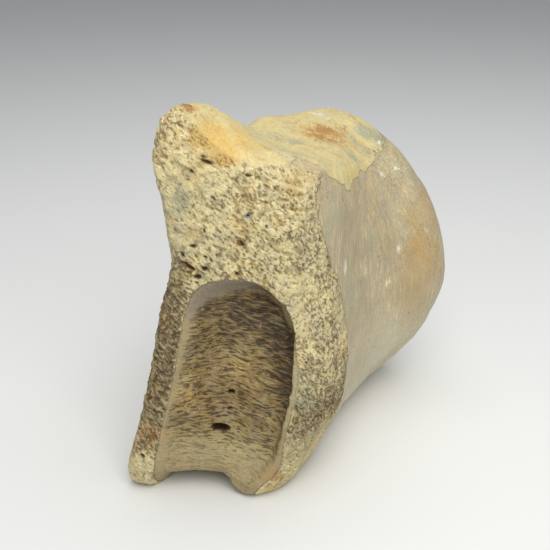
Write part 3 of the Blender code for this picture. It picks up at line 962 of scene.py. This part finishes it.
def colour_setting(name, description, value):
    """An opaque colour that a user may change."""
    return FloatVectorProperty(
        name=name, description=description, default=(*value, 1.0), size=4, min=0.0, max=1.0,
        subtype="COLOR")


def depth_setting(name, description, value):
    """A depth of up to 3 mm that a user may change."""
    return FloatProperty(
        name=name, description=description, default=value, min=0.0, max=0.003,
        unit="LENGTH", subtype="DISTANCE", precision=5)


class BoneSizes(bpy.types.PropertyGroup):
    """Depths of the surface's small forms"""
    pit_depth: depth_setting("Pit depth", "Depth of the spongy end's largest pits", 0.00080)
    wrinkle_depth: depth_setting("Wrinkle depth", "Depth of the hollow's wrinkles", 0.00042)
    crust_step: depth_setting("Crust step", "Step of the yellow crust above the bare side", 0.00030)


class BoneColours(bpy.types.PropertyGroup):
    """Colours of the weathered bone"""
    side: colour_setting("Side", "Bare side of the shaft", (0.58, 0.475, 0.285))
    side_warm: colour_setting("Side, warm", "Warm streaks on the side", (0.55, 0.44, 0.25))
    side_grey: colour_setting("Side, grey", "Grey grain on the side", (0.43, 0.37, 0.25))
    crust: colour_setting("Crust", "Yellow crust on top", (0.71, 0.59, 0.24))
    crust_pale: colour_setting("Crust, pale", "Pale flecks in the crust", (0.72, 0.645, 0.34))
    spongy: colour_setting("Spongy bone", "Cream of the pitted end", (0.93, 0.795, 0.425))
    spongy_grey: colour_setting("Spongy bone, grey", "Grey of the pitted end", (0.64, 0.56, 0.35))
    # Partly the end's duller colour, partly painted shade on the left edge and on the lower front.
    spongy_dull: colour_setting("Spongy bone, dull", "Brownish low parts of the end", (0.19, 0.138, 0.076))
    # Painted highlight on the ridges between the pits.
    ridge: colour_setting("Ridges", "Pale ridges between the pits", (0.97, 0.88, 0.54))
    stain: colour_setting("Stain", "Brown stain among the pits", (0.56, 0.39, 0.20))
    hollow: colour_setting("Hollow", "Floor of the front hollow", (0.275, 0.178, 0.060))
    hollow_grey: colour_setting("Hollow, grey", "Grey parts of the hollow", (0.25, 0.20, 0.125))
    hollow_low: colour_setting("Hollow, low", "Lower part of the hollow", (0.445, 0.362, 0.176))
    # Painted highlight on the crests of the hollow's wrinkles.
    fold_pale: colour_setting("Folds, pale", "Crests of the hollow's wrinkles", (0.50, 0.375, 0.165))
    lip: colour_setting("Lip", "Smooth band inside the hollow's rim", (0.285, 0.235, 0.165))
    lip_low: colour_setting("Lip, low", "Smooth band beside and under the hollow", (0.385, 0.306, 0.164))
    ochre: colour_setting("Ochre stain", "Ochre stains", (0.70, 0.48, 0.16))
    rust: colour_setting("Rust stain", "Rust-brown stains", (0.50, 0.27, 0.085))
    slate: colour_setting("Slate stain", "Grey-green stains", (0.45, 0.43, 0.28))
    chalk: colour_setting("Chalk", "Pale chalky spots", (0.76, 0.73, 0.56))
    # Partly a stain, partly painted shade under the hollow's rim and in its wrinkles' troughs.
    dark: colour_setting("Dark stain", "Dark stain in the hollow", (0.135, 0.098, 0.060))
    tan: colour_setting("Tan stain", "Orange-brown patches on the side", (0.445, 0.330, 0.163))
    joint_brown: colour_setting("Joint, brown", "Brown patches on the joint", (0.40, 0.30, 0.165))
    # Painted shade in the pores and in the joint's holes.
    pore: colour_setting("Pores", "Small pores between the pits", (0.25, 0.158, 0.075))
    # Painted shade in the pits, openings and wrinkles' creases, also along the cracks and at the crust's
    # foot.
    cavity: colour_setting("Pit floor", "Dirt in the pits", (0.11, 0.068, 0.034))


class StageSettings(bpy.types.PropertyGroup):
    """Floor, light and camera"""
    floor_size: FloatProperty(
        name="Floor size", description="Edge of the square floor",
        default=12.0, min=1.0, max=50.0, unit="LENGTH", subtype="DISTANCE")
    floor_colour: colour_setting("Floor", "Colour of the floor", (0.83, 0.84, 0.83))
    key_power: FloatProperty(
        name="Key light", description="Power of the main soft light",
        default=2.5, min=0.0, max=100.0, unit="POWER")
    top_power: FloatProperty(
        name="Top light", description="Power of the overhead soft light",
        default=2.0, min=0.0, max=100.0, unit="POWER")
    room_light: FloatProperty(
        name="Room light", description="Strength of the even light all round",
        default=0.30, min=0.0, max=5.0)


def write_mesh(name, places, faces, shares, vectors):
    """A smooth mesh object of those triangles, with each share and vector kept on its points."""
    mesh = bpy.data.meshes.new(name)
    mesh.vertices.add(len(places))
    mesh.vertices.foreach_set("co", places.astype(np.float32).ravel())
    mesh.loops.add(faces.size)
    mesh.loops.foreach_set("vertex_index", faces.astype(np.int32).ravel())
    mesh.polygons.add(len(faces))
    mesh.polygons.foreach_set("loop_start", np.arange(0, faces.size, 3, dtype=np.int32))
    mesh.polygons.foreach_set("use_smooth", np.ones(len(faces), dtype=bool))
    mesh.update(calc_edges=True)
    for label, values in shares.items():
        layer = mesh.attributes.new(label, "FLOAT", "POINT")
        layer.data.foreach_set("value", np.asarray(values, np.float32))
    for label, values in vectors.items():
        layer = mesh.attributes.new(label, "FLOAT_VECTOR", "POINT")
        layer.data.foreach_set("vector", np.asarray(values, np.float32).ravel())
    if mesh.validate():
        raise RuntimeError(f"{name}: the mesh had faults")
    piece = bpy.data.objects.new(name, mesh)
    bpy.context.scene.collection.objects.link(piece)
    return piece


def stand_shift(places):
    """The shift that brings the form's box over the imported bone's box, base to base."""
    low, high = (np.array(corner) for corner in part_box("toe_bone"))
    middle = (places.min(axis=0) + places.max(axis=0)) / 2.0
    shift = (low + high) / 2.0 - middle
    shift[2] = 0.0
    return shift


class TOEBONE_OT_surface(bpy.types.Operator):
    """Make the bone's weathered surface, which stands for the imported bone"""
    bl_idname = "toebone.surface"
    bl_label = "Bone surface"

    def execute(self, context):
        sizes = context.scene.toe_bone_sizes
        palette = context.scene.toe_bone_colours
        block, quads, strip = fine_cube()
        places = shape_bone(block)
        faces = np.concatenate([split_quads(places, quads), strip])
        normals = point_normals(places, faces)
        region = find_regions(places, normals, block)
        pressed, cavity = press_surface(places, normals, region, sizes)
        shares = {name: MILLIMETRES * region[name] for name in ("ahead", "above", "inside")}
        shares.update({name: region[name] for name in (
            "joint", "cracked", "wrinkled", "dull", "calm", "bleached", "topside", "arched")})
        shares["cavity"] = cavity
        shares.update({name: spots(places, table) for name, table in SPOTS.items()})
        shift = stand_shift(places)
        vectors = {"wrinkle_lie": hollow_lie(places)}
        piece = write_mesh("toe_bone_surface", pressed + shift, faces, shares, vectors)
        colours = {name: tuple(getattr(palette, name)) for name in palette.__annotations__}
        piece.data.materials.append(bone_finish(colours))
        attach(piece, "root")
        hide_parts("toe_bone")
        return {"FINISHED"}


# The stage. The camera's place is in the form's own coordinates, and the lights' are where they
# stand.
CAMERA_PLACE = (0.1250, -0.2380, 0.1542)
CAMERA_TURN = math.radians(29.5)
CAMERA_PITCH = math.radians(22.15)
SENSOR_WIDTH = 36.0
IMAGE_PIXELS = 550.0
FOCAL_PIXELS = 1000.0
KEY_PLACE = (0.28, -0.34, 0.48)
KEY_SIZE = 0.45
TOP_PLACE = (0.05, 0.05, 0.62)
TOP_SIZE = 0.60
AIM_PLACE = (0.0, -0.01, 0.05)
KEY_COLOUR = (1.0, 0.98, 0.94)
TOP_COLOUR = (1.0, 0.99, 0.97)
ROOM_COLOUR = (0.92, 0.95, 1.0, 1.0)
FLOOR_MOTTLE = (0.76, 0.77, 0.76, 1.0)


def soft_light(name, place, size, power, colour):
    """A square area light that looks at the bone's middle."""
    light = bpy.data.lights.new(name, "AREA")
    light.shape = "SQUARE"
    light.size = size
    light.energy = power
    light.color = colour
    lamp = bpy.data.objects.new(name, light)
    bpy.context.scene.collection.objects.link(lamp)
    dx, dy, dz = (start - end for start, end in zip(place, AIM_PLACE))
    lamp.location = place
    lamp.rotation_euler = (math.atan2(math.hypot(dx, dy), dz), 0.0, math.atan2(dx, -dy))


class TOEBONE_OT_stage(bpy.types.Operator):
    """Make the pale floor, the soft lights and the camera"""
    bl_idname = "toebone.stage"
    bl_label = "Stage"

    def execute(self, context):
        settings = context.scene.toe_bone_stage
        scene = context.scene
        edge = settings.floor_size / 2.0
        mesh = bpy.data.meshes.new("floor")
        corners = [(-edge, -edge, 0.0), (edge, -edge, 0.0), (edge, edge, 0.0), (-edge, edge, 0.0)]
        mesh.from_pydata(corners, [], [(0, 1, 2, 3)])
        floor = bpy.data.objects.new("floor", mesh)
        scene.collection.objects.link(floor)
        floor.data.materials.append(floor_finish(tuple(settings.floor_colour)))
        soft_light("key_light", KEY_PLACE, KEY_SIZE, settings.key_power, KEY_COLOUR)
        soft_light("top_light", TOP_PLACE, TOP_SIZE, settings.top_power, TOP_COLOUR)
        world = bpy.data.worlds.new("room")
        scene.world = world
        world.use_nodes = True
        background = world.node_tree.nodes["Background"]
        background.inputs["Color"].default_value = ROOM_COLOUR
        background.inputs["Strength"].default_value = settings.room_light
        data = bpy.data.cameras.new("camera")
        data.sensor_width = SENSOR_WIDTH
        data.lens = SENSOR_WIDTH * FOCAL_PIXELS / IMAGE_PIXELS
        data.clip_start = 0.01
        camera = bpy.data.objects.new("camera", data)
        scene.collection.objects.link(camera)
        shift = stand_shift(shape_bone(fine_cube()[0]))
        camera.location = np.array(CAMERA_PLACE) + shift
        camera.rotation_euler = (math.pi / 2.0 - CAMERA_PITCH, 0.0, CAMERA_TURN)
        scene.camera = camera
        scene.view_settings.view_transform = "Standard"
        return {"FINISHED"}


class TOEBONE_PT_panel(bpy.types.Panel):
    """The bone's settings and the buttons that make its pieces"""
    bl_idname = "TOEBONE_PT_panel"
    bl_label = "Fossil toe bone"
    bl_space_type = "VIEW_3D"
    bl_region_type = "UI"
    bl_category = "Toe Bone"

    def draw(self, context):
        scene = context.scene
        for group in (scene.toe_bone_sizes, scene.toe_bone_colours, scene.toe_bone_stage):
            box = self.layout.box()
            for name in group.__annotations__:
                box.prop(group, name)
        for operator in OPERATORS:
            self.layout.operator(operator.bl_idname)


GROUPS = {"toe_bone_sizes": BoneSizes, "toe_bone_colours": BoneColours, "toe_bone_stage": StageSettings}
OPERATORS = (TOEBONE_OT_surface, TOEBONE_OT_stage)


def register():
    """Adds the settings, operators and panel to Blender."""
    for name, group in GROUPS.items():
        bpy.utils.register_class(group)
        setattr(bpy.types.Scene, name, PointerProperty(type=group))
    for kind in (*OPERATORS, TOEBONE_PT_panel):
        bpy.utils.register_class(kind)


def unregister():
    """Takes them out again, in the reverse order."""
    for kind in (TOEBONE_PT_panel, *reversed(OPERATORS)):
        bpy.utils.unregister_class(kind)
    for name, group in reversed(GROUPS.items()):
        delattr(bpy.types.Scene, name)
        bpy.utils.unregister_class(group)


def main():
    """Makes the pieces and the stage."""
    register()
    bpy.ops.toebone.surface()
    bpy.ops.toebone.stage()


if __name__ == "__main__":
    main()
